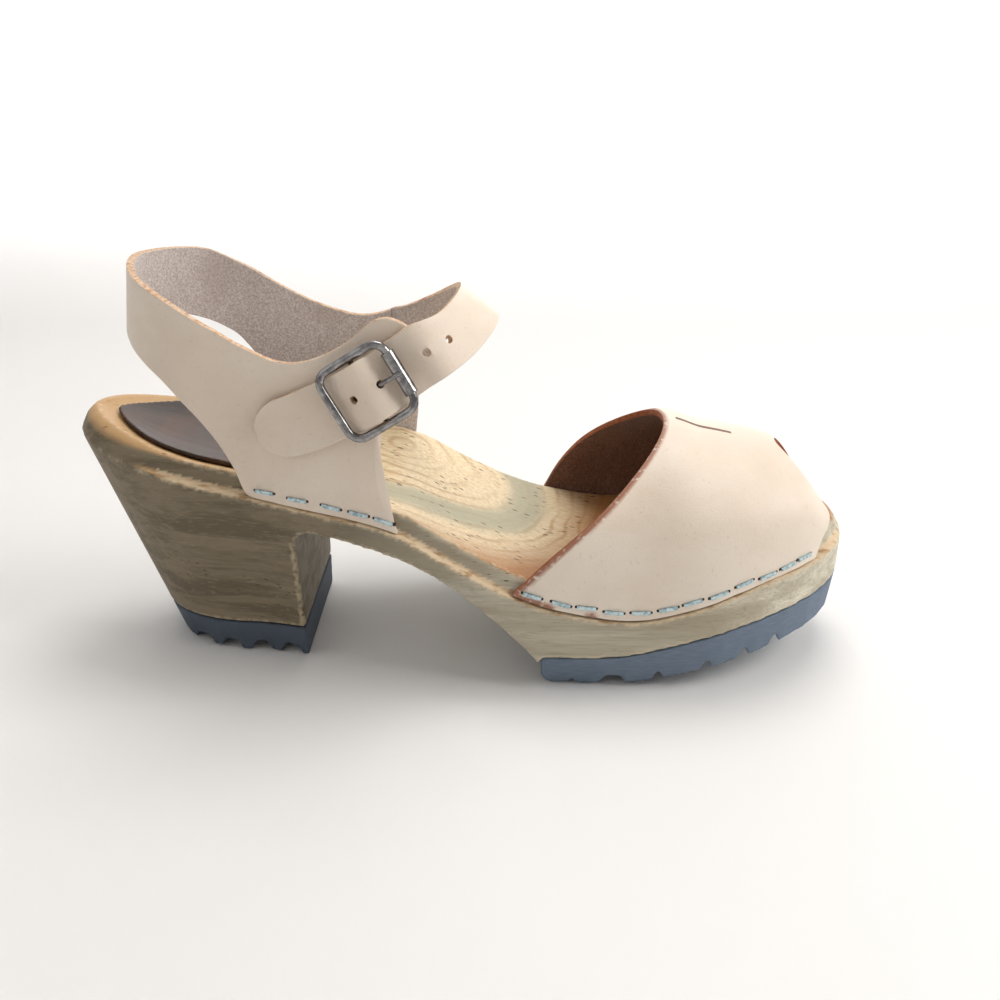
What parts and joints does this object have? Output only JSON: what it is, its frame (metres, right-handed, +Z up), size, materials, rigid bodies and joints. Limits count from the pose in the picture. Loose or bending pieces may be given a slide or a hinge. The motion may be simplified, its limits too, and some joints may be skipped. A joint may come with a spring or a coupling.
{
  "type": "open-toe clog",
  "caption": "Open-toe clog: carved wooden base with high block heel, rubber treads, leather vamp, heel band with instep strap and buckle.",
  "frame": {"origin": "on the floor plane, at the middle of the flat heel tread on which the empty clog stands", "axes": "+X from heel to toe, +Y to the inner side of the foot, +Z up"},
  "size_m": [0.2491, 0.0865, 0.1271],
  "materials": {
    "wood": "satin, oiled",
    "rubber": "matte",
    "leather": "smooth, semi-matte",
    "pad_leather": "glossy",
    "nickel": "polished",
    "brass": "satin"
  },
  "bodies": {
    "root": {"wood_base": "wood", "heel_outsole": "rubber", "forefoot_outsole": "rubber", "heel_pad": "pad_leather", "vamp": "leather", "quarter_strap": "leather", "buckle_frame": "nickel", "buckle_roller": "nickel", "buckle_prong": "nickel", "buckle_tab": "leather", "rivet": "brass"}
  },
  "joints": []
}
